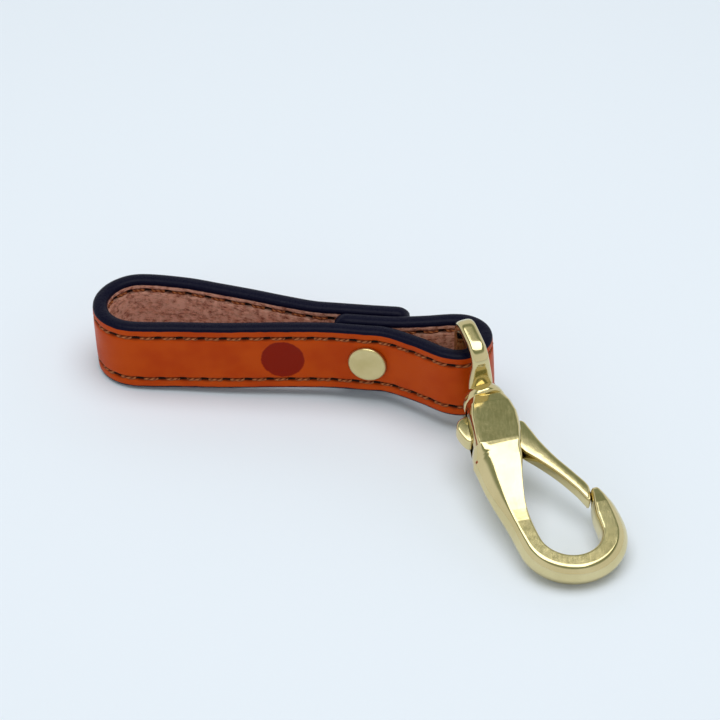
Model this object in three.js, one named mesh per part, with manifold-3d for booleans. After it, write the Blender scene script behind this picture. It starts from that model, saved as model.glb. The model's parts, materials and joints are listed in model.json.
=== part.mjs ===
// Keychain: a stitched leather strap folded round the eye of a brass lever snap hook.
// Millimetres, +Z up. The origin is on the surface that the keychain lies on, under its middle.
import * as THREE from 'three';
import { mergeVertices } from 'three/addons/utils/BufferGeometryUtils.js';
import Module from 'manifold-3d';

const wasm = await Module();
wasm.setup();

const clearance = 0.3; // between any two pieces

// strap: one strip on edge, seen in plan as a line that folds into three layers at the rivet
const strapWidth = 16;
const strapThickness = 3.3;
const strapEdgeRound = 0.8;
const strapSteps = 84;
const strapTilt = THREE.MathUtils.degToRad(2.8); // the right end rides up on the hook's eye
const layerPitch = strapThickness + 0.2;
const endCornerRadius = 3;

// small loop: the fold that holds the hook, and the axis that the hook swings about
const foldCentre = new THREE.Vector2(20.2, -16.6);
const foldRadius = 6.2; // to the middle of the leather
// belt loop: the wide round end
const bendCentre = new THREE.Vector2(-46.5, -0.35);
const bendRadius = 8.35;

// stitching: a groove on each face, with one thread in each
const stitchInset = 2.6;
const threadSize = 0.7;
const grooveWidth = threadSize + 2 * clearance;
const grooveDepth = threadSize + clearance;
const cutterReach = 0.1; // past the face, and short of the next layer
const rowEndInset = 3;

// round pressed mark on the front of the strap
const markRadius = 4.6;
const markDepth = 0.25;
const markX = -16.1;

// rivet
const rivetPlace = new THREE.Vector2(2.7, -9.75);
const rivetAngle = THREE.MathUtils.degToRad(-12);
const capRadius = 4.15;
const capHeight = 0.9;
const backCapRadius = 3.8;
const postRadius = 1.5;
const boreRadius = 0.85;
const studRadius = boreRadius - clearance;
const stackHalf = layerPitch + strapThickness / 2;

// hook: its own plane has x across it towards the gate, y along it towards the eye, z up
const hookPlace = new THREE.Vector3(41.7, -63.6, 0);
const hookYaw = THREE.MathUtils.degToRad(19);
const hookTilt = THREE.MathUtils.degToRad(10.62);
const bowOuter = 11.4;
const bowShift = 0.6; // the bow's outside is not centred on its inside, so the nose side is thicker
const bowInner = 6.2;
const bodyThickness = 5.5;
const bodyRound = 0.9;
const headThickness = 8.2;
const headRound = 1.7;

// swivel eye: an upright rounded rectangle of wire on a domed collar, with a shank in the top of the head
const swivelAxis = -4; // across the hook
const headTop = 37.4;
const eyeLean = THREE.MathUtils.degToRad(4);
const eyeHeight = 26;
const eyeDepth = 13;
const eyeWidth = 3.6;
const eyeWire = 2.4;
const eyeCorner = 4.4;
const eyeMiddle = 46.3;
const collarRadius = 4.3;
const collarHeight = 3.2;
const shankRadius = 0.9;
const rivetedRadius = 1.6;
const rivetedHeight = 0.7;

// gate
const gateThickness = 3;
const gateRound = 0.45;
const slotWidth = gateThickness + 2 * clearance;
const pivot = new THREE.Vector2(-4.5, 28.3);
const pinRadius = 1.2;
const slotTop = 36.5;
const springSeat = new THREE.Vector2(-7.4, 33.2);
const springWall = -1.2;
const springRadius = 1.1;
const springWire = 0.25;
const springTurns = 5;

const leather = { color: 0xa8481c, roughness: 0.5, metalness: 0 };
const thread = { color: 0x23120c, roughness: 0.7, metalness: 0 };
const brass = { color: 0xcdb768, roughness: 0.22, metalness: 1 };
const steel = { color: 0x9a9a96, roughness: 0.35, metalness: 1 };

// ---- joining and cutting ----

function solidOf(geometry) {
  const bare = geometry.clone();
  bare.deleteAttribute('normal');
  bare.deleteAttribute('uv');
  const merged = mergeVertices(bare, 1e-4);
  return new wasm.Manifold(new wasm.Mesh({
    numProp: 3,
    vertProperties: new Float32Array(merged.attributes.position.array),
    triVerts: new Uint32Array(merged.index.array),
  }));
}

function geometryOf(solid) {
  const mesh = solid.getMesh();
  const geometry = new THREE.BufferGeometry();
  geometry.setAttribute('position', new THREE.BufferAttribute(mesh.vertProperties, 3));
  geometry.setIndex(new THREE.BufferAttribute(mesh.triVerts, 1));
  geometry.computeVertexNormals();
  return geometry;
}

function piece(name, geometry, finish) {
  const mesh = new THREE.Mesh(geometry, new THREE.MeshStandardMaterial(finish));
  mesh.name = name;
  return mesh;
}

// an outline standing on z = 0 in the middle of its thickness, with rounded edges inside the outline
function plate(shape, thickness, round, steps = 2) {
  const geometry = new THREE.ExtrudeGeometry(shape, {
    depth: thickness - 2 * round,
    bevelEnabled: round > 0,
    bevelThickness: round,
    bevelSize: round,
    bevelOffset: -round,
    bevelSegments: steps,
    curveSegments: 14,
  });
  return geometry.translate(0, 0, round - thickness / 2);
}

function arcPoints(centre, radius, fromDegrees, toDegrees, steps) {
  return Array.from({ length: steps + 1 }, (_, i) => {
    const angle = THREE.MathUtils.degToRad(fromDegrees + (toDegrees - fromDegrees) * i / steps);
    return new THREE.Vector2(centre.x + radius * Math.cos(angle), centre.y + radius * Math.sin(angle));
  });
}

// ---- strap ----

// a point beside the rivet, moved whole layers towards the front (positive) or the back
function layered(x, y, layers) {
  const shift = layers * layerPitch;
  return new THREE.Vector2(x + shift * Math.sin(rivetAngle), y - shift * Math.cos(rivetAngle));
}

// the middle of the leather, from its end between the layers, round both loops, to its end behind
function strapRoute() {
  const points = [
    layered(-5.4, -8.3, 0), layered(1.8, -9.6, 0), layered(8, -10.5, 0),
    new THREE.Vector2(14, -10.6),
    ...arcPoints(foldCentre, foldRadius, 90, -78, 7),
    new THREE.Vector2(18.3, -22), new THREE.Vector2(12.4, -17.9),
    layered(6.2, -10.5, 1),
    layered(1.8, -9.6, 1), layered(-5.4, -8.3, 1),
    new THREE.Vector2(-16, -10.95), new THREE.Vector2(-27.75, -10.4), new THREE.Vector2(-38, -9.5),
    ...arcPoints(bendCentre, bendRadius, 258, 95, 7),
    new THREE.Vector2(-36.85, 6.1), new THREE.Vector2(-29.85, 3.65), new THREE.Vector2(-22.7, 1.05),
    new THREE.Vector2(-15.6, -1.75), new THREE.Vector2(-9.4, -3.95),
    layered(-5.4, -8.3, -1), layered(1.8, -9.6, -1), layered(8, -10.6, -1),
    new THREE.Vector2(10.9, -7.55),
  ];
  return new THREE.CatmullRomCurve3(points.map((p) => new THREE.Vector3(p.x, p.y, 0)));
}

const route = strapRoute();
const routeLength = route.getLength();

// the route moved sideways: positive is the grain side, which is the outside of both loops
function besideRoute(offset, from = 0, to = 1) {
  return Array.from({ length: strapSteps + 1 }, (_, i) => {
    const t = from + (to - from) * i / strapSteps;
    const p = route.getPointAt(t);
    const along = route.getTangentAt(t);
    return new THREE.Vector2(p.x - along.y * offset, p.y + along.x * offset);
  });
}

// a band in plan between two offsets from the route
function bandShape(inner, outer, from, to) {
  return new THREE.Shape([...besideRoute(outer, from, to), ...besideRoute(inner, from, to).reverse()]);
}

const face = strapThickness / 2;
const rowEnd = rowEndInset / routeLength;
const rowHeights = { upper: strapWidth / 2 - stitchInset, lower: stitchInset - strapWidth / 2 };

function grooveSolid(side, height) {
  const inner = side > 0 ? face - grooveDepth : -face - cutterReach;
  const outer = side > 0 ? face + cutterReach : grooveDepth - face;
  const from = rowEnd - clearance / routeLength;
  const band = bandShape(inner, outer, from, 1 - from);
  return solidOf(plate(band, grooveWidth, 0).translate(0, 0, height));
}

function threadGeometry(side, height) {
  const inner = side > 0 ? face - threadSize : -face;
  const outer = inner + threadSize;
  return plate(bandShape(inner, outer, rowEnd, 1 - rowEnd), threadSize, 0).translate(0, 0, height);
}

// what is cut off a square end to leave rounded corners
function endCorners(t, direction) {
  const reach = endCornerRadius + 1;
  const half = strapWidth / 2;
  const shape = new THREE.Shape([
    new THREE.Vector2(reach, -half - 1), new THREE.Vector2(reach, half + 1),
    new THREE.Vector2(-endCornerRadius, half + 1),
  ]);
  const round = arcPoints(new THREE.Vector2(-endCornerRadius, half - endCornerRadius), endCornerRadius, 90, 0, 5);
  const lower = round.map((p) => new THREE.Vector2(p.x, -p.y)).reverse();
  [...round, ...lower, new THREE.Vector2(-endCornerRadius, -half - 1)].forEach((p) => shape.lineTo(p.x, p.y));
  const cutter = plate(shape, strapThickness + 0.15, 0);
  const along = route.getTangentAt(t).multiplyScalar(direction);
  const up = new THREE.Vector3(0, 0, 1);
  const place = new THREE.Matrix4().makeBasis(along, up, along.clone().cross(up));
  return solidOf(cutter.applyMatrix4(place.setPosition(route.getPointAt(t))));
}

function rivetMatrix() {
  const front = new THREE.Vector3(Math.sin(rivetAngle), -Math.cos(rivetAngle), 0);
  const up = new THREE.Vector3(0, 0, 1);
  const turn = new THREE.Matrix4().makeBasis(front.clone().cross(up), front, up);
  return turn.setPosition(rivetPlace.x, rivetPlace.y, 0);
}

function markSolid() {
  const spot = besideRoute(face).filter((p) => p.y < -8);
  const nearest = spot.reduce((a, b) => (Math.abs(a.x - markX) < Math.abs(b.x - markX) ? a : b));
  const disc = new THREE.CylinderGeometry(markRadius, markRadius, 2, 32);
  return solidOf(disc.translate(nearest.x, nearest.y - 1 + markDepth, 0));
}

function strapGeometry() {
  let solid = solidOf(plate(bandShape(-face, face, 0, 1), strapWidth, strapEdgeRound));
  for (const height of Object.values(rowHeights)) {
    solid = solid.subtract(grooveSolid(1, height)).subtract(grooveSolid(-1, height));
  }
  const holeRadius = postRadius + clearance;
  const hole = new THREE.CylinderGeometry(holeRadius, holeRadius, 4 * stackHalf, 24).applyMatrix4(rivetMatrix());
  solid = solid.subtract(solidOf(hole)).subtract(markSolid());
  return geometryOf(solid.subtract(endCorners(0, -1)).subtract(endCorners(1, 1)));
}

// ---- rivet: a cap with a tubular post, and a back cap with a stud that goes into it ----

function turned(profile) {
  const outline = profile.map(([radius, height]) => new THREE.Vector2(radius, height));
  return new THREE.LatheGeometry(outline, 32);
}

function rivetCap() {
  const seat = stackHalf + clearance;
  return turned([
    [0, seat - 1], [boreRadius, seat - 1], [boreRadius, -stackHalf], [postRadius, -stackHalf],
    [postRadius, seat], [capRadius, seat], [capRadius, seat + capHeight - 0.35],
    [capRadius - 0.45, seat + capHeight], [0, seat + capHeight],
  ]).applyMatrix4(rivetMatrix());
}

function rivetBackCap() {
  const seat = -stackHalf - clearance;
  return turned([
    [0, seat - capHeight], [backCapRadius - 0.5, seat - capHeight], [backCapRadius, seat - capHeight + 0.35],
    [backCapRadius, seat], [studRadius, seat], [studRadius, 0], [0, 0],
  ]).applyMatrix4(rivetMatrix());
}

// ---- hook ----

function outline(points) {
  return new THREE.Shape(points.map((p) => (Array.isArray(p) ? new THREE.Vector2(...p) : p)));
}

// spine, bow and nose; the nose ends in the slanted face that the gate closes against
function bodyShape() {
  const inside = new THREE.Vector2(0, 0);
  const outside = new THREE.Vector2(bowShift, 0);
  return outline([
    [-10.7, 27.2], [-11.5, 22.8], [-12.4, 17.5], [-12.4, 13], [-11.9, 9], [-11.2, 5],
    ...arcPoints(outside, bowOuter, 180, 360, 22),
    [11.8, 4.5], [11.2, 6.6], [10.3, 8.5], [9.2, 9.5], [8, 7.9], [7.4, 6], [6.6, 3.9], [6.2, 2],
    ...arcPoints(inside, bowInner, 360, 180, 18),
    [-6.2, 7], [-5.6, 12], [-4.2, 16.5], [-1.9, 22], [-0.3, 27.2],
  ]);
}

function headShape() {
  return outline([
    [-12, 20], [-11.4, 23.7], [-10.7, 27.2], [-10, 31.9], [-8.9, 35.4], [-8.2, headTop], [0.2, headTop],
    [0.8, 35.4], [0.9, 32.8], [0.4, 29.6], [-0.3, 27.2], [-1.9, 22], [-3.3, 18.5],
  ]);
}

function slotShape() {
  return outline([
    [-15, 25.8], [-8, 25.8], [-5.6, 23.2], [-4.6, 18.6], [-4.4, 15.8], [3, 15.8],
    [3, 31.8], [springWall, 31.8], [springWall, slotTop], [-15, slotTop],
  ]);
}

function roundedRectangle(width, height, radius) {
  const x = width / 2 - radius;
  const y = height / 2 - radius;
  const corner = (cx, cy, from) => arcPoints(new THREE.Vector2(cx, cy), radius, from, from + 90, 5);
  return [...corner(x, y, 0), ...corner(-x, y, 90), ...corner(-x, -y, 180), ...corner(x, -y, 270)];
}

// round pieces about the line that the eye turns on
function onSwivelAxis(profile) {
  return turned(profile).translate(swivelAxis, 0, 0);
}

function ringGeometry() {
  const shape = new THREE.Shape(roundedRectangle(eyeDepth, eyeHeight, eyeCorner));
  const inside = roundedRectangle(eyeDepth - 2 * eyeWire, eyeHeight - 2 * eyeWire, eyeCorner - eyeWire);
  shape.holes.push(new THREE.Path(inside));
  const upright = new THREE.Matrix4().makeBasis(
    new THREE.Vector3(0, 1, 0), new THREE.Vector3(0, 0, 1), new THREE.Vector3(1, 0, 0));
  const ring = plate(shape, eyeWidth, 0.8).applyMatrix4(upright);
  return ring.rotateY(-eyeLean).translate(swivelAxis, eyeMiddle, 0);
}

function eyeGeometry() {
  const foot = headTop + clearance;
  const wire = eyeMiddle - eyeDepth / 2 + eyeWire / 2;
  const riveted = slotTop - clearance;
  return geometryOf(solidOf(ringGeometry()).add(solidOf(onSwivelAxis([
    [0, riveted - rivetedHeight], [rivetedRadius, riveted - rivetedHeight], [rivetedRadius, riveted],
    [shankRadius, riveted], [shankRadius, foot], [collarRadius, foot], [collarRadius, foot + 0.25 * collarHeight],
    [0.9 * collarRadius, foot + 0.6 * collarHeight], [0.6 * collarRadius, foot + collarHeight],
    [1.4, wire], [0, wire],
  ]))));
}

function hookGeometry() {
  const pinHole = new THREE.CylinderGeometry(pinRadius + clearance, pinRadius + clearance, 2 * headThickness, 24);
  pinHole.rotateX(Math.PI / 2).translate(pivot.x, pivot.y, 0);
  const pocketRadius = rivetedRadius + clearance;
  const shankHole = onSwivelAxis([
    [0, slotTop - rivetedHeight - 3 * clearance], [pocketRadius, slotTop - rivetedHeight - 3 * clearance],
    [pocketRadius, slotTop], [shankRadius + clearance, slotTop], [shankRadius + clearance, headTop + 1],
    [0, headTop + 1],
  ]);
  const solid = solidOf(plate(bodyShape(), bodyThickness, bodyRound))
    .add(solidOf(plate(headShape(), headThickness, headRound, 3)))
    .subtract(solidOf(plate(slotShape(), slotWidth, 0)))
    .subtract(solidOf(pinHole))
    .subtract(solidOf(shankHole));
  return geometryOf(solid);
}

// thumb tab at the left, arm to the nose at the right, hub round the pin between them
function gateGeometry() {
  const shape = outline([
    [-8.6, 34.4], [-9.6, 34.7], [-11.3, 34.1], [-12.3, 32.5], [-12.1, 29.9], [-11.2, 28], [-8.6, 27.4],
    [-6.4, 25.5], [-4, 24.7], [-2.2, 24.1], [-1.1, 22.4], [1, 19.4], [3.5, 15.2], [5.6, 10.6], [6.9, 7.2],
    [7.8, 8.9], [8.2, 10.6], [6.7, 14.6], [4.6, 19.7], [3, 24.6], [2.2, 28.2], [1.4, 30.6], [-1.2, 31],
    [-5.6, 31.3], [springSeat.x, 31.9], [springSeat.x, 34.2],
  ]);
  const hole = new THREE.CylinderGeometry(pinRadius + clearance, pinRadius + clearance, 2 * headThickness, 24);
  hole.rotateX(Math.PI / 2).translate(pivot.x, pivot.y, 0);
  return geometryOf(solidOf(plate(shape, gateThickness, gateRound, 1)).subtract(solidOf(hole)));
}

function pinGeometry() {
  const pin = new THREE.CylinderGeometry(pinRadius, pinRadius, headThickness, 24);
  return pin.rotateX(Math.PI / 2).translate(pivot.x, pivot.y, 0);
}

// a compression spring between the tab and the closed side of the head
class Helix extends THREE.Curve {
  constructor(start, end, radius, turns) {
    super();
    Object.assign(this, { start, end, radius, turns });
  }

  getPoint(t, target = new THREE.Vector3()) {
    const angle = 2 * Math.PI * this.turns * t;
    const x = this.start.x + (this.end.x - this.start.x) * t;
    return target.set(x, this.start.y + this.radius * Math.cos(angle), this.radius * Math.sin(angle));
  }
}

function springGeometry() {
  const gap = clearance + springWire;
  const start = new THREE.Vector2(springSeat.x + gap, springSeat.y);
  const end = new THREE.Vector2(springWall - gap, springSeat.y);
  const section = new THREE.Shape(arcPoints(new THREE.Vector2(0, 0), springWire, 0, 300, 5));
  return new THREE.ExtrudeGeometry(section, {
    steps: springTurns * 9,
    extrudePath: new Helix(start, end, springRadius, springTurns),
  });
}

// ---- the whole keychain ----

function lowest(object) {
  return new THREE.Box3().setFromObject(object, true).min.z;
}

const strap = new THREE.Group();
strap.add(piece('strap', strapGeometry(), leather));
for (const [row, height] of Object.entries(rowHeights)) {
  strap.add(piece(`${row}_needle_thread`, threadGeometry(1, height), thread));
  strap.add(piece(`${row}_bobbin_thread`, threadGeometry(-1, height), thread));
}
strap.add(piece('rivet_cap', rivetCap(), brass));
strap.add(piece('rivet_back_cap', rivetBackCap(), brass));
strap.rotation.y = -strapTilt;
strap.position.z = -lowest(strap);

const hook = new THREE.Group();
hook.add(piece('swivel_eye', eyeGeometry(), brass));
hook.add(piece('hook_body', hookGeometry(), brass));
hook.add(piece('gate_lever', gateGeometry(), brass));
hook.add(piece('gate_pin', pinGeometry(), brass));
hook.add(piece('gate_spring', springGeometry(), steel));
hook.rotation.set(hookTilt, 0, hookYaw, 'ZXY');
hook.position.copy(hookPlace);
hook.position.z = -lowest(hook);

const group = new THREE.Group();
group.add(strap, hook);
const box = new THREE.Box3().setFromObject(group, true);
const middle = box.getCenter(new THREE.Vector3());
group.position.set(-middle.x, -middle.y, -box.min.z);
group.updateMatrixWorld(true);

export default group;
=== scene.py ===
import json
import math

import bmesh
import bpy
import numpy as np
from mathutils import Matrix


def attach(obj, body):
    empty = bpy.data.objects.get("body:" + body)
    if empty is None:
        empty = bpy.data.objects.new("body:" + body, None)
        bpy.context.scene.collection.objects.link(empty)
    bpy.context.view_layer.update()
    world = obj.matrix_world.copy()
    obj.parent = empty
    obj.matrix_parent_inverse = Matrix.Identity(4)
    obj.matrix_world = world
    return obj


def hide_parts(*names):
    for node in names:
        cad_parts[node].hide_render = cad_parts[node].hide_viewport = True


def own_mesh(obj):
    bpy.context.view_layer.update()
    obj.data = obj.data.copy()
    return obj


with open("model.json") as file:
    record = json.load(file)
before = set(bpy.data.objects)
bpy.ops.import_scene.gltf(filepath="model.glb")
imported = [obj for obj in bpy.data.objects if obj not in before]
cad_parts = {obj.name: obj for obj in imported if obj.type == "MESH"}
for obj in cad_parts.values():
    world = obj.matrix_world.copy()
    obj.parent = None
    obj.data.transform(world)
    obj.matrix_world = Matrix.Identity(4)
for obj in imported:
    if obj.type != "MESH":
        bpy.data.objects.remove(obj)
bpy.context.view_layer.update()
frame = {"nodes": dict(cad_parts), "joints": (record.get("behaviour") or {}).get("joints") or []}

scene = bpy.context.scene
print("frame loaded:", len(frame["nodes"]), "nodes")


# shared mesh tools, all in millimetres

def smoothLine(points, perSpan=60):
    # centripetal Catmull-Rom: each span is a cubic whose end slopes come from
    # its neighbours, weighted by the square roots of the distances between points
    p = np.asarray(points, float)
    p = np.vstack([2 * p[0] - p[1], p, 2 * p[-1] - p[-2]])
    a, b, c, d = p[:-3], p[1:-2], p[2:-1], p[3:]
    gap = lambda m, n: np.sqrt(np.linalg.norm(m - n, axis=1))[:, None]
    before, within, after = gap(a, b), gap(b, c), gap(c, d)
    startSlope = ((b - a) / before - (c - a) / (before + within) + (c - b) / within) * within
    endSlope = ((c - b) / within - (d - b) / (within + after) + (d - c) / after) * within
    t = np.linspace(0, 1, perSpan, endpoint=False)[None, :, None]
    b, c, startSlope, endSlope = (v[:, None] for v in (b, c, startSlope, endSlope))
    line = (b * (2 * t**3 - 3 * t**2 + 1) + startSlope * (t**3 - 2 * t**2 + t)
            + c * (3 * t**2 - 2 * t**3) + endSlope * (t**3 - t**2))
    return np.vstack([line.reshape(-1, p.shape[1]), p[-2:-1]])


def evenSteps(line, step):
    # the same line with its points an even distance apart, and each point's distance along it
    reach = np.concatenate([[0], np.cumsum(np.linalg.norm(np.diff(line, axis=0), axis=1))])
    along = np.linspace(0, reach[-1], int(round(reach[-1] / step)) + 1)
    return np.stack([np.interp(along, reach, column) for column in line.T], 1), along


def easeBetween(x, low, high):
    # 0 below low, 1 above high, with a smooth S between them
    t = np.clip((x - low) / (high - low), 0, 1)
    return t * t * (3 - 2 * t)


def ringFaces(rings, perRing, closedPath=False):
    # quads between neighbouring rings of points; each ring closes on itself
    i, j = np.meshgrid(np.arange(rings if closedPath else rings - 1), np.arange(perRing), indexing="ij")
    here, there = i * perRing, (i + 1) % rings * perRing
    k = (j + 1) % perRing
    return np.stack([here + j, here + k, there + k, there + j], -1).reshape(-1, 4)


def endFans(rings, perRing, startPole, endPole):
    # triangles that close the first and last ring on a point each
    j = np.arange(perRing)
    k = (j + 1) % perRing
    last = (rings - 1) * perRing
    first = np.stack([np.full(perRing, startPole), k, j], 1)
    final = np.stack([np.full(perRing, endPole), last + j, last + k], 1)
    return np.vstack([first, final])


def makePiece(name, points, faces, material, body, nodes, sharpAngle=40):
    mesh = bpy.data.meshes.new(name)
    allFaces = [face for block in faces for face in np.asarray(block).tolist()]
    mesh.from_pydata((np.asarray(points) / 1000).tolist(), [], allFaces)
    work = bmesh.new()
    work.from_mesh(mesh)
    bmesh.ops.remove_doubles(work, verts=work.verts, dist=1e-7)
    bmesh.ops.recalc_face_normals(work, faces=work.faces)
    if work.calc_volume(signed=True) < 0:
        bmesh.ops.reverse_faces(work, faces=work.faces)
    work.to_mesh(mesh)
    work.free()
    mesh.shade_smooth()
    mesh.set_sharp_from_angle(angle=math.radians(sharpAngle))
    mesh.materials.append(material)
    piece = bpy.data.objects.new(name, mesh)
    scene.collection.objects.link(piece)
    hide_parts(*nodes)
    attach(piece, body)
    return piece


def cutAway(piece, points, faces, sharpAngle=40):
    # subtracts a closed shape from a piece, then forgets the shape
    mesh = bpy.data.meshes.new("cutter")
    mesh.from_pydata((np.asarray(points) / 1000).tolist(), [], faces)
    work = bmesh.new()
    work.from_mesh(mesh)
    bmesh.ops.recalc_face_normals(work, faces=work.faces)
    work.to_mesh(mesh)
    work.free()
    cutter = bpy.data.objects.new("cutter", mesh)
    scene.collection.objects.link(cutter)
    cut = piece.modifiers.new("cut", "BOOLEAN")
    cut.operation = "DIFFERENCE"
    cut.solver = "EXACT"
    cut.object = cutter
    bpy.context.view_layer.update()
    after = bpy.data.meshes.new_from_object(piece.evaluated_get(bpy.context.evaluated_depsgraph_get()))
    piece.modifiers.remove(cut)
    bpy.data.objects.remove(cutter)
    piece.data = after
    after.set_sharp_from_angle(angle=math.radians(sharpAngle))


def prism(outline, low, high):
    # a flat outline given thickness: two rings of points, walls between them, and two lids
    flat = np.asarray(outline, float)
    count = len(flat)
    points = np.vstack([np.c_[flat, np.full(count, low)], np.c_[flat, np.full(count, high)]])
    walls = [[i, (i + 1) % count, count + (i + 1) % count, count + i] for i in range(count)]
    return points, walls + [list(range(count))[::-1], list(range(count, 2 * count))]


def rod(radius, low, high, sides=48):
    turn = np.linspace(0, 2 * np.pi, sides, endpoint=False)
    return prism(np.stack([radius * np.cos(turn), radius * np.sin(turn)], 1), low, high)


# where the two groups of the part stand: hook points are (across, along, up), strap points are in plan

joints = {joint["name"]: joint for joint in frame["joints"]}
pivotSpot = np.array(joints["gate_pivot"]["pos_m"]) * 1000
hookAlong = np.array(joints["eye_swivel"]["axis"])
hookUp = -np.array(joints["gate_pivot"]["axis"])
hookAcross = np.cross(hookAlong, hookUp)

hook = {
    "pivot": (-4.5, 28.3),
    "swivelAcross": -4.0,
    "slotHalf": 1.8,
    "step": 0.3,
    # ridge across and along, outer and inner half width, half thickness, outer and inner half
    # width of the flat on top, outer and inner squareness of what slopes down beside it
    "spine": [
        (-3.95, 37.5, 4.45, 4.55, 3.75, 2.2, 2.4, 2.0, 2.0), (-4.2, 35.2, 4.8, 5.0, 4.0, 3.3, 3.6, 2.1, 2.1),
        (-4.6, 32.5, 5.2, 5.5, 4.04, 4.0, 4.3, 2.2, 2.2), (-5.0, 29.5, 5.4, 5.4, 4.09, 4.2, 4.2, 2.2, 2.3),
        (-5.2, 27.2, 5.6, 5.0, 4.12, 4.5, 3.9, 2.4, 2.6), (-5.25, 24.8, 6.15, 4.15, 4.16, 4.6, 3.3, 2.2, 2.6),
        (-5.3, 23.9, 6.4, 3.8, 4.13, 3.4, 3.0, 2.0, 2.6), (-5.3, 22.6, 6.75, 3.45, 4.03, 2.1, 2.4, 1.75, 2.6),
        (-5.35, 21.2, 7.0, 3.15, 3.92, 2.0, 2.2, 1.7, 2.6), (-6.0, 18.0, 6.4, 2.65, 3.65, 2.0, 2.1, 1.65, 2.6),
        (-6.85, 14.0, 5.5, 2.1, 3.31, 1.9, 1.8, 1.6, 2.6), (-7.6, 10.5, 4.4, 2.0, 3.02, 1.75, 1.65, 1.6, 2.4),
        (-8.1, 7.4, 3.4, 2.05, 2.86, 1.5, 1.55, 1.65, 2.3), (-8.3, 4.5, 2.8, 2.1, 2.77, 1.2, 1.45, 1.7, 2.2),
    ],
    "bow": {"middle": (0.25, -0.05), "radius": 8.4, "steps": 12,
            "outer": (2.7, 3.4), "inner": (2.0, 2.4), "thick": 2.75,
            "flat": (1.0, 1.4), "square": (1.7, 2.2)},
    "nose": [
        (8.9, 2.5, 3.1, 2.5, 2.75, 0.9, 1.45, 1.7, 2.2), (9.0, 5.0, 2.7, 2.1, 2.75, 0.8, 1.1, 1.7, 2.2),
        (9.05, 7.0, 1.9, 1.45, 2.6, 0.6, 0.8, 1.8, 2.2), (9.0, 8.6, 1.3, 1.0, 2.4, 0.3, 0.5, 2.0, 2.0),
        (8.95, 9.6, 0.8, 0.8, 2.0, 0.1, 0.2, 2.0, 2.0),
    ],
    "topRounding": 0.3,
    "noseRounding": 0.8,
    "slot": [(-15, 25.8), (-8, 25.8), (-5.6, 23.2), (-4.6, 18.6), (-4.4, 15.8), (3, 15.8),
             (3, 31.8), (-1.2, 31.8), (-1.2, 36.5), (-15, 36.5)],
    "shankHole": {"radius": 1.25, "low": 35, "high": 42},
}
hookOrigin = pivotSpot - hook["pivot"][0] * hookAcross - hook["pivot"][1] * hookAlong


def placeHook(points):
    p = np.asarray(points, float)
    return hookOrigin + p[..., :1] * hookAcross + p[..., 1:2] * hookAlong + p[..., 2:] * hookUp


# materials

def newMaterial(name):
    material = bpy.data.materials.new(name)
    material.use_nodes = True
    tree = material.node_tree
    return material, tree, tree.nodes["Principled BSDF"]


def addNode(tree, kind, inputs=None, **settings):
    node = tree.nodes.new(kind)
    for key, value in settings.items():
        setattr(node, key, value)
    for key, value in (inputs or {}).items():
        if isinstance(value, bpy.types.NodeSocket):
            tree.links.new(value, node.inputs[key])
        else:
            node.inputs[key].default_value = value
    return node


def numberFrom(tree, operation, first, second=0.0, third=0.0):
    node = addNode(tree, "ShaderNodeMath", {0: first, 1: second, 2: third}, operation=operation)
    return node.outputs[0]


def softStep(tree, value, low, high, toLow=0.0, toHigh=1.0):
    node = addNode(tree, "ShaderNodeMapRange", {0: value, 1: low, 2: high, 3: toLow, 4: toHigh},
                   interpolation_type="SMOOTHSTEP")
    return node.outputs[0]


def noiseFrom(tree, vector, scale, detail=3.0, roughness=0.55):
    node = addNode(tree, "ShaderNodeTexNoise", {"Vector": vector, "Scale": scale, "Detail": detail,
                                                "Roughness": roughness})
    return node.outputs[0]


def mixColour(tree, share, first, second, blend="MIX"):
    node = addNode(tree, "ShaderNodeMix", {0: share, 6: first, 7: second}, data_type="RGBA", blend_type=blend)
    return node.outputs[2]


def attributeOf(tree, name):
    return addNode(tree, "ShaderNodeAttribute", attribute_name=name).outputs["Fac"]


leatherLook = {
    "grain": (0.48, 0.060, 0.002, 1),
    "grainDeep": (0.42, 0.043, 0.001, 1),
    "flesh": (0.76, 0.35, 0.25, 1),
    "fleshDark": (0.27, 0.085, 0.055, 1),
    "fleshLight": (0.90, 0.50, 0.38, 1),
    "paint": (0.003, 0.003, 0.014, 1),
    "mark": (0.22, 0.010, 0.001, 1),
    # near black colour of the painted shade in the stitch holes and stitch grooves
    "paintedStitchShade": (0.012, 0.004, 0.003, 1),
    "poreScale": 3.2,
}


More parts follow.
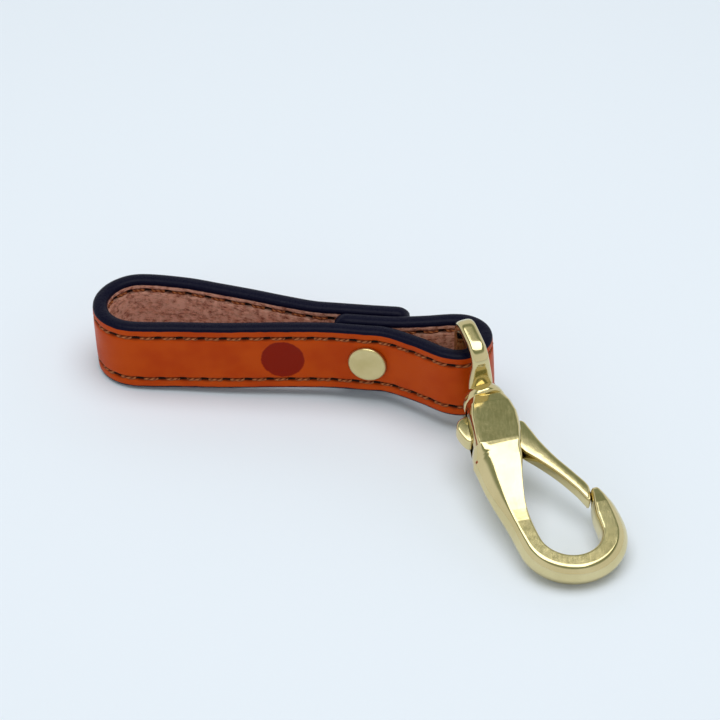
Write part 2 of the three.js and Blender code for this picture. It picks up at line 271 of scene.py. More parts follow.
def makeLeather(halfWidth, markAlong, markRadius):
    # grain outside, rough flesh inside, painted edges, chosen by how far each point is
    # across the strap and out from its middle, in millimetres
    material, tree, shader = newMaterial("bridleLeather")
    along, across, outward = (attributeOf(tree, name) for name in ("along", "across", "outward"))
    place = addNode(tree, "ShaderNodeCombineXYZ", {0: along, 1: across, 2: outward}).outputs[0]
    stretched = addNode(tree, "ShaderNodeMapping", {"Vector": place, "Scale": (0.45, 1.5, 1)}).outputs[0]

    cloud = noiseFrom(tree, place, 0.12, 2.0)
    grain = mixColour(tree, softStep(tree, cloud, 0.35, 0.7), leatherLook["grain"], leatherLook["grainDeep"])
    pores = addNode(tree, "ShaderNodeTexVoronoi", {"Vector": place, "Scale": leatherLook["poreScale"]},
                    feature="F1").outputs["Distance"]
    poreShade = softStep(tree, pores, 0.0, 0.22, 0.86, 1.0)
    grain = mixColour(tree, 1.0, grain, addNode(tree, "ShaderNodeCombineXYZ", {
        0: poreShade, 1: poreShade, 2: poreShade}).outputs[0], "MULTIPLY")
    vectorMath = "ShaderNodeVectorMath"
    fromMark = addNode(tree, vectorMath, {0: place, 1: (markAlong, 0, 0)}, operation="SUBTRACT").outputs[0]
    fromMark = addNode(tree, vectorMath, {0: fromMark, 1: (1, 1, 0)}, operation="MULTIPLY").outputs[0]
    fromMark = addNode(tree, vectorMath, {0: fromMark}, operation="LENGTH").outputs["Value"]
    markEdge = numberFrom(tree, "ADD", fromMark, numberFrom(tree, "MULTIPLY", noiseFrom(tree, place, 1.6), 0.5))
    inMark = softStep(tree, markEdge, markRadius + 0.1, markRadius + 0.4, 1.0, 0.0)
    grain = mixColour(tree, inMark, grain, leatherLook["mark"])

    fibre = noiseFrom(tree, stretched, 1.5, 5.0, 0.75)
    tuft = noiseFrom(tree, place, 0.75, 3.0, 0.65)
    flesh = mixColour(tree, softStep(tree, fibre, 0.38, 0.6), leatherLook["fleshDark"], leatherLook["flesh"])
    flesh = mixColour(tree, softStep(tree, tuft, 0.35, 0.65, 0.0, 0.75), flesh, leatherLook["fleshLight"])

    isGrain = softStep(tree, outward, -0.2, 0.2)
    face = mixColour(tree, isGrain, flesh, grain)
    # painted shade: the face darkens towards near black in the stitch holes and along each groove's upper wall
    paintedStitchShade = attributeOf(tree, "paintedStitchShade")
    face = mixColour(tree, paintedStitchShade, face, leatherLook["paintedStitchShade"])

    width = numberFrom(tree, "ABSOLUTE", across)
    waver = numberFrom(tree, "MULTIPLY", noiseFrom(tree, place, 0.45, 1.5), 0.3)
    grainStart = numberFrom(tree, "ADD", waver, halfWidth - 0.98)
    fleshStart = numberFrom(tree, "ADD", waver, halfWidth - 1.4)
    start = addNode(tree, "ShaderNodeMix", {0: isGrain, 2: fleshStart, 3: grainStart}).outputs[0]
    painted = softStep(tree, numberFrom(tree, "SUBTRACT", width, start), 0.0, 0.12)
    byEnd = attributeOf(tree, "byEnd")
    painted = numberFrom(tree, "MAXIMUM", painted, byEnd)
    colour = mixColour(tree, painted, face, leatherLook["paint"])
    tree.links.new(colour, shader.inputs["Base Color"])

    shader.inputs["Specular IOR Level"].default_value = 0.07
    grainRough = softStep(tree, cloud, 0.3, 0.7, 0.33, 0.44)
    faceRough = addNode(tree, "ShaderNodeMix", {0: isGrain, 2: 0.93, 3: grainRough}).outputs[0]
    paintRough = softStep(tree, noiseFrom(tree, place, 2.5), 0.3, 0.7, 0.24, 0.38)
    rough = addNode(tree, "ShaderNodeMix", {0: painted, 2: faceRough, 3: paintRough}).outputs[0]
    tree.links.new(rough, shader.inputs["Roughness"])

    poreHeight = numberFrom(tree, "MULTIPLY", softStep(tree, pores, 0.0, 0.3), 0.03)
    fine = numberFrom(tree, "MULTIPLY", noiseFrom(tree, place, 5.0, 4.0), 0.05)
    grainHeight = numberFrom(tree, "ADD", poreHeight, fine)
    fleshHeight = numberFrom(tree, "ADD", numberFrom(tree, "MULTIPLY", fibre, 0.55),
                             numberFrom(tree, "MULTIPLY", tuft, 0.6))
    height = addNode(tree, "ShaderNodeMix", {0: isGrain, 2: fleshHeight, 3: grainHeight}).outputs[0]
    paintHeight = numberFrom(tree, "MULTIPLY", noiseFrom(tree, place, 1.3, 3.0), 0.12)
    height = addNode(tree, "ShaderNodeMix", {0: painted, 2: height, 3: paintHeight}).outputs[0]
    bump = addNode(tree, "ShaderNodeBump", {"Height": height, "Strength": 0.8, "Distance": 0.001})
    tree.links.new(bump.outputs[0], shader.inputs["Normal"])
    return material


def makeThread():
    # waxed dark thread: a twist seen as fine slanting lines of painted shade between the plies and painted
    # highlight on their crests; lighter where it lies on top, with painted near-black shade where it dives into
    # the holes
    material, tree, shader = newMaterial("waxedThread")
    lift = attributeOf(tree, "lift")
    along = attributeOf(tree, "along")
    around = attributeOf(tree, "around")
    # painted shade and highlight: the thread's own brown, darker in the grooves between the plies and lighter on
    # their crests
    ply = numberFrom(tree, "SINE", numberFrom(tree, "ADD", numberFrom(tree, "MULTIPLY", along, 5.2),
                                              numberFrom(tree, "MULTIPLY", around, 2.0)))
    ply = softStep(tree, ply, -0.9, 0.7)
    top = mixColour(tree, ply, (0.13, 0.022, 0.006, 1), (0.44, 0.15, 0.055, 1))
    place = addNode(tree, "ShaderNodeTexCoord").outputs["Object"]
    fibre = noiseFrom(tree, place, 2600.0, 2.0)
    top = mixColour(tree, softStep(tree, fibre, 0.4, 0.7, 0.0, 0.4), top, (0.18, 0.04, 0.015, 1))
    # painted shade: near black where the thread dives into a hole
    colour = mixColour(tree, softStep(tree, lift, 0.35, 0.75), (0.010, 0.004, 0.003, 1), top)
    tree.links.new(colour, shader.inputs["Base Color"])
    tree.links.new(softStep(tree, fibre, 0.3, 0.7, 0.5, 0.75), shader.inputs["Roughness"])
    shader.inputs["Specular IOR Level"].default_value = 0.1
    bump = addNode(tree, "ShaderNodeBump", {"Height": ply, "Strength": 0.5, "Distance": 0.00012})
    tree.links.new(bump.outputs[0], shader.inputs["Normal"])
    return material


def makeBrass(name, light, deep, smooth, rough, brushed=0.0):
    # cast brass: soft tint changes, fine wipe marks, and a little unevenness left by the polishing
    material, tree, shader = newMaterial(name)
    place = addNode(tree, "ShaderNodeTexCoord").outputs["Object"]
    cloud = noiseFrom(tree, place, 150.0, 3.0)
    colour = mixColour(tree, softStep(tree, cloud, 0.35, 0.7), light, deep)
    tree.links.new(colour, shader.inputs["Base Color"])
    shader.inputs["Metallic"].default_value = 1.0
    wiped = addNode(tree, "ShaderNodeMapping", {"Vector": place, "Rotation": (0.3, 0.2, 0.33),
                                                "Scale": (1, 0.12, 1)}).outputs[0]
    marks = noiseFrom(tree, wiped, 2600.0, 3.0, 0.6)
    tree.links.new(softStep(tree, marks, 0.3, 0.75, smooth, rough), shader.inputs["Roughness"])
    dents = noiseFrom(tree, place, 330.0, 2.0)
    height = numberFrom(tree, "ADD", numberFrom(tree, "MULTIPLY", dents, 0.5),
                        numberFrom(tree, "MULTIPLY", marks, brushed))
    bump = addNode(tree, "ShaderNodeBump", {"Height": height, "Strength": 0.25, "Distance": 0.00014})
    tree.links.new(bump.outputs[0], shader.inputs["Normal"])
    return material


def makeSteel():
    material, tree, shader = newMaterial("springSteel")
    place = addNode(tree, "ShaderNodeTexCoord").outputs["Object"]
    marks = noiseFrom(tree, place, 3000.0, 3.0)
    colour = mixColour(tree, marks, (0.42, 0.41, 0.39, 1), (0.62, 0.61, 0.58, 1))
    tree.links.new(colour, shader.inputs["Base Color"])
    tree.links.new(softStep(tree, marks, 0.3, 0.7, 0.22, 0.4), shader.inputs["Roughness"])
    shader.inputs["Metallic"].default_value = 1.0
    return material


polishedBrass = makeBrass("polishedBrass", (0.72, 0.62, 0.34, 1), (0.66, 0.56, 0.29, 1), 0.09, 0.16)
brushedBrass = makeBrass("brushedBrass", (0.64, 0.55, 0.28, 1), (0.55, 0.46, 0.21, 1), 0.30, 0.42, 0.3)
springSteel = makeSteel()
waxedThread = makeThread()
print("materials ready")


# strap

strap = {
    "origin": (1.4770244, 32.6559360, 10.70662),
    "tilt": 2.8,
    "width": 16,
    "thickness": 3.3,
    "edgeRound": 0.95,
    "crown": 0.12,
    "endRadius": 3.0,
    "layerPitch": 3.5,
    "rivetAngle": -12,
    "foldCentre": (20.2, -16.6), "foldRadius": 6.2,
    "bendCentre": (-46.5, -0.35), "bendRadius": 8.35,
    "step": 0.4,
    "markX": -16.1, "markRadius": 4.6, "markDepth": 0.2,
}
stitching = {
    "height": 5.4,
    "pitch": 4.6,
    "firstHole": 4.6,
    "rowEnd": 3.0,
    "grooveDepth": 0.40, "grooveWidth": 0.42,
    "holeDepth": 0.55, "holeLength": 0.85, "holeWidth": 0.42,
    "threadRadius": 0.37,
    "rise": (0.25, 1.25), "twist": 1.5, "swell": 0.2,
    "sunk": 0.36,
    "dive": 0.42,
}


def placeStrap(points):
    # plan (x, y) and height across the strap, leaned about Y and set down beside the hook
    p = np.asarray(points, float)
    lean = math.radians(strap["tilt"])
    x, y, z = p[..., 0], p[..., 1], p[..., 2]
    level, upright = x * math.cos(lean) - z * math.sin(lean), x * math.sin(lean) + z * math.cos(lean)
    return np.stack([level, y, upright], -1) + np.array(strap["origin"])


def arcPoints(centre, radius, start, end, steps):
    turn = np.radians(np.linspace(start, end, steps + 1))
    return [(centre[0] + radius * math.cos(a), centre[1] + radius * math.sin(a)) for a in turn]


def layered(x, y, layers):
    # beside the rivet, whole layers towards the front (positive) or the back
    shift, lean = layers * strap["layerPitch"], math.radians(strap["rivetAngle"])
    return (x + shift * math.sin(lean), y - shift * math.cos(lean))


def strapRoute():
    # the middle of the leather, from its end between the layers, round both loops, to its end behind
    return [
        layered(-5.4, -8.3, 0), layered(1.8, -9.6, 0), layered(8, -10.5, 0), (14, -10.6),
        *arcPoints(strap["foldCentre"], strap["foldRadius"], 90, -78, 7),
        (18.3, -22), (12.4, -17.9), layered(6.2, -10.5, 1), layered(1.8, -9.6, 1), layered(-5.4, -8.3, 1),
        (-16, -10.95), (-27.75, -10.4), (-38, -9.5),
        *arcPoints(strap["bendCentre"], strap["bendRadius"], 258, 95, 7),
        (-36.85, 6.1), (-29.85, 3.65), (-22.7, 1.05), (-15.6, -1.75), (-9.4, -3.95),
        layered(-5.4, -8.3, -1), layered(1.8, -9.6, -1), layered(8, -10.6, -1), (10.9, -7.55),
    ]


def sidewaysOf(line):
    # unit normals on the left of the way, which is the grain side
    way = np.gradient(line, axis=0)
    way /= np.linalg.norm(way, axis=1)[:, None]
    return np.stack([-way[:, 1], way[:, 0]], 1)


def fromHole(along):
    # distance along the row from the nearest stitch hole
    pitch = stitching["pitch"]
    return (along - stitching["firstHole"] + pitch / 2) % pitch - pitch / 2


middleLine, strapAlong = evenSteps(smoothLine(strapRoute()), strap["step"])
strapLength = strapAlong[-1]
halfWidth, halfThick = strap["width"] / 2, strap["thickness"] / 2
onFront = (middleLine[:, 1] < -8) & (strapAlong > 50) & (strapAlong < 120)
markAlong = strapAlong[onFront][np.argmin(np.abs(middleLine[onFront, 0] - strap["markX"]))]
print("strap length", round(float(strapLength), 1), "mm, mark at", round(float(markAlong), 1))


def strapSection():
    # once round the leather: grain face, rounded upper edge, flesh face, rounded lower edge.
    # The edges are half superellipses, and the faces have more points where the stitching runs
    flat = halfWidth - strap["edgeRound"]
    row = stitching["height"]
    rowPoints = np.linspace(row - 0.75, row + 0.75, 12)
    face = np.concatenate([-rowPoints[::-1], np.linspace(-4.3, 4.3, 18), rowPoints, [6.5]])
    face = np.concatenate([[-flat, -6.5], face, [flat]])
    face = np.unique(np.round(face, 4))
    turn = np.linspace(np.pi / 2, -np.pi / 2, 15)[1:-1]
    edgeAcross = flat + strap["edgeRound"] * np.abs(np.cos(turn)) ** (2 / 2.5)
    edgeOut = np.sign(np.sin(turn)) * np.abs(np.sin(turn)) ** (2 / 2.5)
    across = np.concatenate([face, edgeAcross, face[::-1], -edgeAcross])
    out = np.concatenate([np.ones(len(face)), edgeOut, -np.ones(len(face)), -edgeOut])
    return across, out


def strapSurface():
    # each section point moves out by half the thickness, less the crown, groove, holes and mark
    across, out = strapSection()
    along = strapAlong[:, None]
    fromEnd = np.minimum(along, strapLength - along)
    radius, soft = strap["endRadius"], strap["edgeRound"]
    circle = np.sqrt(np.clip(radius**2 - (radius - fromEnd) ** 2, 0, None))
    corner = np.where(fromEnd < radius, radius - circle, 0)
    narrow = 1 - corner / halfWidth
    thin = (1 - np.clip(1 - fromEnd / soft, 0, 1) ** 2.5) ** (1 / 2.5)
    wide = across[None, :] * narrow
    inRow = easeBetween(fromEnd, stitching["rowEnd"] - 0.4, stitching["rowEnd"] + 0.2)
    offRow = np.abs(wide) - stitching["height"]
    groove = stitching["grooveDepth"] * np.exp(-((offRow / stitching["grooveWidth"]) ** 2)) * inRow
    slant = fromHole(along) + 0.5 * np.sign(wide) * (wide - np.sign(wide) * stitching["height"])
    hole = np.exp(-((slant / stitching["holeLength"]) ** 2) - (offRow / stitching["holeWidth"]) ** 2) * inRow
    crown = strap["crown"] * (np.abs(wide) / halfWidth) ** 3
    grain = out[None, :] > 0
    mark = np.where(grain, strap["markDepth"] * easeBetween(
        -np.hypot(along - markAlong, wide), -strap["markRadius"] - 0.15, -strap["markRadius"] + 0.25), 0)
    onFace = np.abs(out[None, :]) == 1
    dip = np.where(onFace, groove + stitching["holeDepth"] * hole + mark, 0) + crown * np.abs(out[None, :])
    outward = out[None, :] * (halfThick * thin - np.minimum(dip, halfThick * thin * 0.7))
    normals = sidewaysOf(middleLine)
    plan = middleLine[:, None, :] + outward[..., None] * normals[:, None, :]
    points = np.concatenate([plan, wide[..., None]], -1)
    # painted shade: near black in each stitch hole and along a thin line on the upper wall of each stitch
    # groove, where shade falls
    paintedStitchShade = np.where(onFace, np.clip(1.25 * hole, 0, 1), 0)
    shadowLine = np.exp(-(((wide - np.sign(wide) * stitching["height"] - 0.34) / 0.16) ** 2)) * inRow * onFace
    paintedStitchShade = np.clip(np.maximum(paintedStitchShade, 0.75 * shadowLine), 0, 1)
    byEnd = np.broadcast_to(easeBetween(-fromEnd, -0.75, -0.5), wide.shape)
    values = {"along": np.broadcast_to(along, wide.shape),
              "across": np.broadcast_to(across, wide.shape), "outward": outward,
              "paintedStitchShade": paintedStitchShade, "byEnd": byEnd}
    return points, values


def addValues(piece, values):
    for name, value in values.items():
        attribute = piece.data.attributes.new(name, "FLOAT", "POINT")
        attribute.data.foreach_set("value", np.asarray(value, np.float32).ravel())


def makeCarried(name, points, values, material, body, nodes, capped=True):
    # a closed skin over rings of points, with values kept on its points
    rings, perRing = points.shape[:2]
    flat = points.reshape(-1, 3)
    blocks = [ringFaces(rings, perRing, not capped)]
    if capped:
        poles = [points[0].mean(0), points[-1].mean(0)]
        blocks.append(endFans(rings, perRing, len(flat), len(flat) + 1))
        flat = np.vstack([flat, poles])
        values = {k: np.concatenate([np.ravel(v), [np.ravel(v[0]).mean(), np.ravel(v[-1]).mean()]])
                  for k, v in values.items()}
    mesh = bpy.data.meshes.new(name)
    mesh.from_pydata((flat / 1000).tolist(), [], [f for b in blocks for f in b.tolist()])
    mesh.materials.append(material)
    piece = bpy.data.objects.new(name, mesh)
    scene.collection.objects.link(piece)
    addValues(piece, values)
    work = bmesh.new()
    work.from_mesh(mesh)
    if work.calc_volume(signed=True) < 0:
        bmesh.ops.reverse_faces(work, faces=work.faces)
    work.to_mesh(mesh)
    work.free()
    mesh.shade_smooth()
    if nodes:
        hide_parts(*nodes)
    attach(piece, body)
    return piece


bridleLeather = makeLeather(halfWidth, float(markAlong), strap["markRadius"])
strapPoints, strapValues = strapSurface()
makeCarried("leatherStrap", placeStrap(strapPoints), strapValues, bridleLeather, "strap", ["strap"])
print("strap made:", strapPoints.shape[0] * strapPoints.shape[1], "points")


def threadSurface(side, row):
    # a two-ply cord along the row: it dives at each hole and lies on top between them, and its
    # outline is a circle swollen twice round, turning as it goes
    line, along = evenSteps(smoothLine(strapRoute()), 0.22)
    keep = (along > stitching["rowEnd"]) & (along < strapLength - stitching["rowEnd"])
    normals = sidewaysOf(line)[keep]
    line, along = line[keep], along[keep]
    turn = np.linspace(0, 2 * np.pi, 10, endpoint=False)
    away = np.abs(fromHole(along))
    lift = easeBetween(away, *stitching["rise"])
    twist = 2 * (turn[None, :] - stitching["twist"] * along[:, None])
    radius = stitching["threadRadius"] * (0.86 + stitching["swell"] * np.cos(twist))
    depth = halfThick - stitching["sunk"] - stitching["dive"] * (1 - lift)
    fromMiddle = side * (depth[:, None] + radius * np.cos(turn)[None, :])
    height = row * stitching["height"] - 0.12 * lift[:, None] + radius * np.sin(turn)[None, :]
    plan = line[:, None, :] + fromMiddle[..., None] * normals[:, None, :]
    points = np.concatenate([plan, height[..., None]], -1)
    shape = height.shape
    return points, {"along": np.broadcast_to(along[:, None], shape),
                    "lift": np.broadcast_to(lift[:, None], shape),
                    "around": np.broadcast_to(turn[None, :], shape)}


for rowName, row in (("upper", 1), ("lower", -1)):
    for threadName, side in (("needle", 1), ("bobbin", -1)):
        threadPoints, threadValues = threadSurface(side, row)
        makeCarried(rowName + threadName.capitalize() + "Stitches", placeStrap(threadPoints), threadValues,
                    waxedThread, "strap", [f"{rowName}_{threadName}_thread"])
print("stitches made")


# rivet caps

rivet = {
    "place": (2.7, -9.75),
    "seat": 5.15 + 0.05,
    "capRadius": 4.15,
    "backRadius": 3.8,
    "height": 0.95,
    "postRadius": 1.45,
    # how far in from the rim and how far down from the top the face and its bevel go
    "dish": 0.06,
    "edge": [(1.2, 0.04), (0.75, 0.02), (0.55, 0.0), (0.35, 0.05), (0.12, 0.22), (0.02, 0.45)],
}


def turnedRings(profile, steps=96):
    # each (radius, height) of the profile becomes a ring round the axis
    profile = np.asarray(profile, float)
    turn = np.linspace(0, 2 * np.pi, steps, endpoint=False)
    radius, height = profile[:, :1], np.broadcast_to(profile[:, 1:], (len(profile), steps))
    return np.stack([radius * np.cos(turn), radius * np.sin(turn), height], -1)


def capProfile(radius, height, seat):
    # a flat disc with a thin raised rim and a short bevel; it closes under the leather's face
    top = seat + height
    edge = [(radius - inset, top - drop) for inset, drop in rivet["edge"]]
    return [(0.02, top - rivet["dish"]), *edge, (radius, seat + 0.2), (radius - 0.1, seat),
            (rivet["postRadius"], seat), (rivet["postRadius"], 0.05), (0.02, 0.05)]


def placeRivet(points, front):
    # the rivet's axis runs from back to front through the layers
    lean = math.radians(strap["rivetAngle"])
    out = front * np.array([math.sin(lean), -math.cos(lean), 0])
    up = np.array([0, 0, 1.0])
    sideways = np.cross(up, out)
    middle = np.array([*rivet["place"], 0])
    return placeStrap(middle + points[..., :1] * sideways + points[..., 1:2] * up + points[..., 2:] * out)


for capName, radius, front, node in (("rivetCap", rivet["capRadius"], 1, "rivet_cap"),
                                     ("rivetBackCap", rivet["backRadius"], -1, "rivet_back_cap")):
    rings = placeRivet(turnedRings(capProfile(radius, rivet["height"], rivet["seat"])), front)
    makeCarried(capName, rings, {}, brushedBrass, "strap", [node])
print("rivet made")


# hook body

def hookStations():
    # ridge line and section sizes from the head, round the bow, to the nose
    stations = list(hook["spine"])
    bow = hook["bow"]
    for step, (x, y) in enumerate(arcPoints(bow["middle"], bow["radius"], 180, 360, bow["steps"])):
        share = step / bow["steps"]
        outer, inner = (np.interp(share, (0, 1), bow[side]) for side in ("outer", "inner"))
        stations.append((x, y, outer, inner, bow["thick"], *bow["flat"], *bow["square"]))
    return np.array(stations + list(hook["nose"]), float)


def hookSurface():
    # at each step along the ridge the section has a flat on top, and on each side of it a quarter
    # of a superellipse going down to the widest point; the underside mirrors the top. Widths
    # change smoothly between stations, the rest in straight lines, so that the facets have
    # creases. Both ends close in a short dome
    stations = hookStations()
    line = smoothLine(stations, 40)
    reach = np.concatenate([[0], np.cumsum(np.linalg.norm(np.diff(line[:, :2], axis=0), axis=1))])
    atStation = reach[::40]
    along = np.union1d(np.linspace(0, reach[-1], int(reach[-1] / hook["step"])), atStation)
    for rounding, end in ((hook["topRounding"], 0), (hook["noseRounding"], reach[-1])):
        extra = rounding * (1 - np.cos(np.linspace(0, np.pi / 2, 14)[1:]))
        along = np.union1d(along, np.abs(end - extra))
    smooth = np.stack([np.interp(along, reach, column) for column in line.T[:4]], 1)
    straight = np.stack([np.interp(along, atStation, column) for column in stations.T[4:]], 1)
    way = np.gradient(smooth[:, :2], along, axis=0)
    way /= np.linalg.norm(way, axis=1)[:, None]
    outwards = np.stack([way[:, 1], -way[:, 0]], 1)
    dome = np.ones(len(along))
    for rounding, gap in ((hook["topRounding"], along), (hook["noseRounding"], reach[-1] - along)):
        dome *= (1 - np.clip(1 - gap / rounding, 0, 1) ** 2.3) ** (1 / 2.3)
    dome = np.maximum(dome, 0.002)[:, None]
    turn = np.linspace(0, np.pi / 2, 20)[None, :]
    thick = straight[:, :1]
    halves = []
    for side, half, flat, square in ((1, 2, 1, 3), (-1, 3, 2, 4)):
        wide, flat = smooth[:, half:half + 1], straight[:, flat:flat + 1]
        power = 2 / straight[:, square:square + 1]
        halves.append((side * (flat + (wide - flat) * np.cos(turn) ** power), thick * np.sin(turn) ** power))
    (outX, outY), (inX, inY) = halves
    share = np.linspace(0, 1, 14)[None, 1:-1]
    flatX = outX[:, -1:] + (inX[:, -1:] - outX[:, -1:]) * share
    topX = np.concatenate([outX, flatX, inX[:, ::-1]], 1)
    topY = np.concatenate([outY, np.broadcast_to(thick, flatX.shape), inY[:, ::-1]], 1)
    offset = np.concatenate([topX, topX[:, -2:0:-1]], 1) * dome
    up = np.concatenate([topY, -topY[:, -2:0:-1]], 1) * dome
    flat = smooth[:, None, :2] + offset[..., None] * outwards[:, None, :]
    return np.concatenate([flat, up[..., None]], -1)


hookBody = makeCarried("hookBody", placeHook(hookSurface()), {}, polishedBrass, "hook", ["hook_body"])
slotPoints, slotFaces = prism(hook["slot"], -hook["slotHalf"], hook["slotHalf"])
cutAway(hookBody, placeHook(slotPoints), slotFaces)
shankPoints, shankFaces = rod(**hook["shankHole"])
shankPoints = np.stack([shankPoints[:, 0] + hook["swivelAcross"], shankPoints[:, 2], shankPoints[:, 1]], 1)
cutAway(hookBody, placeHook(shankPoints), shankFaces)
print("hook body made:", len(hookBody.data.vertices), "points")


# swivel eye

eye = {
    "lean": 4,
    "height": 26, "depth": 13, "wire": 2.4, "corner": 4.4,
    "middle": 46.3,
    "halfWide": 1.8, "footWide": 0.75,
    "collarBase": 37.7, "collarRadius": 4.5, "collarHeight": 3.7,
    "collarTop": 1.6, "collarSkirt": 0.4,
    "riveted": (35.5, 36.2), "rivetedRadius": 1.6, "shankRadius": 0.9,
}


def eyeSurface():
    # a rounded rectangle of wire standing across the head. Its section is a superellipse,
    # wider sideways, and it widens on the near bar towards the foot
    half = eye["wire"] / 2
    deep, tall, corner = eye["depth"] / 2 - half, eye["height"] / 2 - half, eye["corner"] - half
    x, y = deep - corner, tall - corner
    ring = [p for cx, cy, start in ((x, y, 0), (-x, y, 90), (-x, -y, 180), (x, -y, 270))
            for p in arcPoints((cx, cy), corner, start, start + 90, 12)]
    ring = np.array(ring + [ring[0]])
    line, along = evenSteps(ring, 0.3)
    line = line[:-1]
    way = np.roll(line, -1, 0) - np.roll(line, 1, 0)
    way /= np.linalg.norm(way, axis=1)[:, None]
    outwards = np.stack([way[:, 1], -way[:, 0]], 1)
    turn = np.linspace(0, 2 * np.pi, 48, endpoint=False)[None, :]
    nearBar = easeBetween(-line[:, 0], 2.0, deep)
    wide = eye["halfWide"] + eye["footWide"] * nearBar * easeBetween(-np.abs(line[:, 1]), -11, -3)
    bow = np.sign(np.cos(turn)) * np.abs(np.cos(turn)) ** (2 / 3.0) * half
    sideways = np.sign(np.sin(turn)) * np.abs(np.sin(turn)) ** (2 / 3.0) * wide[:, None]
    flat = line[:, None, :] + bow[..., None] * outwards[:, None, :]
    lean = math.radians(eye["lean"])
    across = sideways * math.cos(lean) - flat[..., 1] * math.sin(lean) + hook["swivelAcross"]
    up = sideways * math.sin(lean) + flat[..., 1] * math.cos(lean)
    return np.stack([across, flat[..., 0] + eye["middle"], up], -1)


def footSurface():
    # the shank and its domed collar: rings about the turning axis, from the riveted end up
    # into the near bar
    base, radius, top, skirt = (eye[key] for key in ("collarBase", "collarRadius", "collarTop", "collarSkirt"))
    wire = eye["middle"] - eye["depth"] / 2 + eye["wire"] / 2
    low, high = eye["riveted"]
    wide, shank, soft = eye["rivetedRadius"], eye["shankRadius"], 0.1
    profile = [(0.02, low), (wide - soft / 2, low), (wide, low + soft), (wide, high - soft), (wide - soft, high),
               (shank, high), (shank, base), (radius - 0.15, base), (radius, base + 0.15)]
    for turn in np.radians(np.linspace(5, 80, 16)):
        profile.append((top + (radius - top) * math.cos(turn) ** 0.8,
                        base + skirt + (eye["collarHeight"] - skirt) * math.sin(turn)))
    rings = turnedRings(profile + [(top - 0.1, wire), (0.02, wire)], 64)
    return np.stack([rings[..., 0] + hook["swivelAcross"], rings[..., 2], rings[..., 1]], -1)


makeCarried("swivelEye", placeHook(eyeSurface()), {}, polishedBrass, "eye", ["swivel_eye"],
            capped=False)
makeCarried("swivelFoot", placeHook(footSurface()), {}, polishedBrass, "eye", [])
print("swivel eye made")


# gate

gate = {
    "half": 1.5,
    "holeRadius": 1.4,
    "round": 0.6,
    # hub and thumb tab on the left, arm to the nose on the right
    "outline": [
        (-8.6, 34.4), (-9.6, 34.7), (-11.3, 34.1), (-12.3, 32.5), (-12.1, 29.9), (-11.2, 28.0), (-8.6, 27.4),
        (-6.4, 25.5), (-4.0, 24.7), (-2.2, 24.1), (-1.1, 22.4), (1.0, 19.4), (3.5, 15.2), (5.6, 10.6),
        (7.1, 6.7), (8.0, 8.6), (8.35, 10.6), (6.85, 14.6), (4.6, 19.7), (3.0, 24.6), (2.2, 28.2),
        (1.4, 30.6), (-1.2, 31.0), (-5.6, 31.3), (-7.2, 32.0), (-7.5, 33.8),
    ],
}


def plateSurface(outline, half, rounding):
    # an outline swept over a rounded edge: each ring moves inwards along the outline's normals
    # as it climbs a quarter circle, above and below, and the flat faces close it
    loop = smoothLine(outline + outline[:1], 24)
    line, along = evenSteps(loop, 0.22)
    line = line[:-1]
    way = np.roll(line, -1, 0) - np.roll(line, 1, 0)
    way /= np.linalg.norm(way, axis=1)[:, None]
    inwards = np.stack([-way[:, 1], way[:, 0]], 1)
    area = np.sum(line[:, 0] * np.roll(line[:, 1], -1) - np.roll(line[:, 0], -1) * line[:, 1])
    inwards *= np.sign(area)
    quarter = np.linspace(0, np.pi / 2, 6)
    step = np.concatenate([rounding * (1 - np.cos(quarter[::-1])), rounding * (1 - np.cos(quarter))])
    climb = np.concatenate([-(half - rounding) - rounding * np.sin(quarter[::-1]),
                            half - rounding + rounding * np.sin(quarter)])
    flat = line[None, :, :] + step[:, None, None] * inwards[None, :, :]
    return np.concatenate([flat, np.broadcast_to(climb[:, None, None], (*flat.shape[:2], 1))], -1)


gateRings = plateSurface(gate["outline"], gate["half"], gate["round"])
rings, perRing = gateRings.shape[:2]
lids = [list(range(perRing))[::-1], list(range((rings - 1) * perRing, rings * perRing))]
gateLever = makePiece("gateLever", placeHook(gateRings).reshape(-1, 3), [ringFaces(rings, perRing), lids],
                      polishedBrass, "gate", ["gate_lever"])
holePoints, holeFaces = rod(gate["holeRadius"], -4, 4)
holePoints[:, :2] += hook["pivot"]
cutAway(gateLever, placeHook(holePoints), holeFaces)


# gate pin and spring

pin = {"radius": 1.2, "half": 3.7, "bevel": 0.2}
pinTop = [(pin["radius"], pin["half"] - pin["bevel"]), (pin["radius"] - pin["bevel"], pin["half"]),
          (0.02, pin["half"])]
pinRings = turnedRings([(radius, -height) for radius, height in pinTop[::-1]] + pinTop, 48)
pinRings[..., :2] += hook["pivot"]
makeCarried("gatePin", placeHook(pinRings), {}, polishedBrass, "hook", ["gate_pin"])

spring = {"start": -6.9, "end": -1.75, "along": 33.2, "radius": 1.1, "wire": 0.25, "turns": 5}


def springSurface():
    # a circle carried along a helix: the wire's section turns with the coil
    t = np.linspace(0, 1, 260)
    angle = 2 * np.pi * spring["turns"] * t
    centre = np.stack([spring["start"] + (spring["end"] - spring["start"]) * t,
                       spring["along"] + spring["radius"] * np.cos(angle), spring["radius"] * np.sin(angle)], 1)
    radial = np.stack([np.zeros_like(t), np.cos(angle), np.sin(angle)], 1)
    turn = np.linspace(0, 2 * np.pi, 10, endpoint=False)
    axial = np.array([1.0, 0, 0])
    return (centre[:, None, :] + spring["wire"] * (np.cos(turn)[None, :, None] * radial[:, None, :]
                                                   + np.sin(turn)[None, :, None] * axial))


gateSpring = makeCarried("gateSpring", placeHook(springSurface()), {}, springSteel, "hook", ["gate_spring"])
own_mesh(gateSpring)
print("gate, pin and spring made")


# floor, camera and light

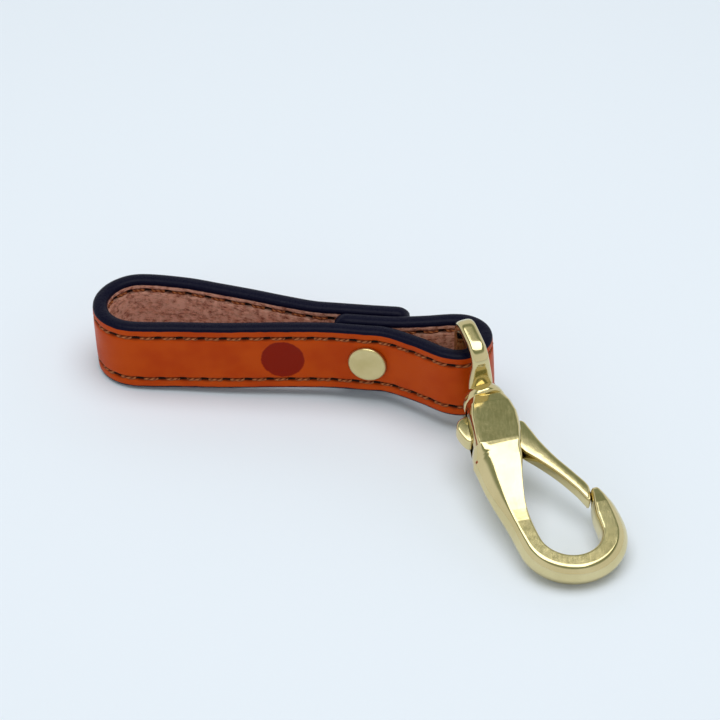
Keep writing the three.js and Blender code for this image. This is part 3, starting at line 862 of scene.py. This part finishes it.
studio = {
    "floor": (0.775, 0.83, 0.92, 1),
    "target": (0.0014770244, 0.0326559360, 0.0),
    "distance": 0.794, "elevation": 38, "lens": 185,
    "panelSpot": (0.0, 0.01, 0.6), "panelAim": (0.0, 0.01, 0.0), "panelSize": (0.6, 0.52), "panelPower": 2.25,
    # half of one plus the sine of the height above the horizon, and the colour there
    "sky": [
        (0.5, (0.76, 0.78, 0.80, 1)), (0.80, (0.76, 0.78, 0.79, 1)), (0.845, (0.34, 0.38, 0.32, 1)),
        (0.87, (0.24, 0.28, 0.21, 1)), (0.918, (0.24, 0.28, 0.21, 1)), (0.930, (0.52, 0.56, 0.50, 1)),
        (1.0, (0.60, 0.61, 0.60, 1)),
    ],
}

floorMesh = bpy.data.meshes.new("floor")
floorMesh.from_pydata([(-6, -6, 0), (6, -6, 0), (6, 6, 0), (-6, 6, 0)], [], [(0, 1, 2, 3)])
floor = bpy.data.objects.new("floor", floorMesh)
scene.collection.objects.link(floor)
floorPaint, floorTree, floorShader = newMaterial("palePaper")
floorShader.inputs["Base Color"].default_value = studio["floor"]
floorShader.inputs["Roughness"].default_value = 0.7
floorMesh.materials.append(floorPaint)

world = bpy.data.worlds.new("studio")
scene.world = world
world.use_nodes = True
worldTree = world.node_tree
background = worldTree.nodes["Background"]
height = addNode(worldTree, "ShaderNodeSeparateXYZ", {
    0: addNode(worldTree, "ShaderNodeTexCoord").outputs["Generated"]}).outputs[2]
ramp = addNode(worldTree, "ShaderNodeValToRGB", {0: numberFrom(worldTree, "MULTIPLY_ADD", height, 0.5, 0.5)})
stops = ramp.color_ramp.elements
stops[0].position, stops[0].color = studio["sky"][0]
stops[1].position, stops[1].color = studio["sky"][-1]
for position, colour in studio["sky"][1:-1]:
    stop = stops.new(position)
    stop.color = colour
worldTree.links.new(ramp.outputs[0], background.inputs["Color"])
background.inputs["Strength"].default_value = 1.0


def addPanel(name, spot, size, power, aim):
    light = bpy.data.lights.new(name, "AREA")
    light.shape = "RECTANGLE"
    light.size, light.size_y = size
    light.energy = power
    lamp = bpy.data.objects.new(name, light)
    away = np.array(spot, float) - np.array(aim, float)
    flatReach = math.hypot(away[0], away[1])
    lamp.location = spot
    lamp.rotation_euler = (math.atan2(flatReach, away[2]), 0, math.atan2(away[0], -away[1]))
    scene.collection.objects.link(lamp)
    return lamp


addPanel("overheadPanel", studio["panelSpot"], studio["panelSize"], studio["panelPower"], studio["panelAim"])

camera = bpy.data.objects.new("camera", bpy.data.cameras.new("camera"))
scene.collection.objects.link(camera)
camera.data.lens = studio["lens"]
camera.data.sensor_width = 36
camera.data.clip_start = 0.01
tilt = math.radians(studio["elevation"])
camera.location = (studio["target"][0], studio["target"][1] - studio["distance"] * math.cos(tilt),
                   studio["distance"] * math.sin(tilt))
camera.rotation_euler = (math.pi / 2 - tilt, 0, 0)
scene.camera = camera
scene.view_settings.view_transform = "Standard"

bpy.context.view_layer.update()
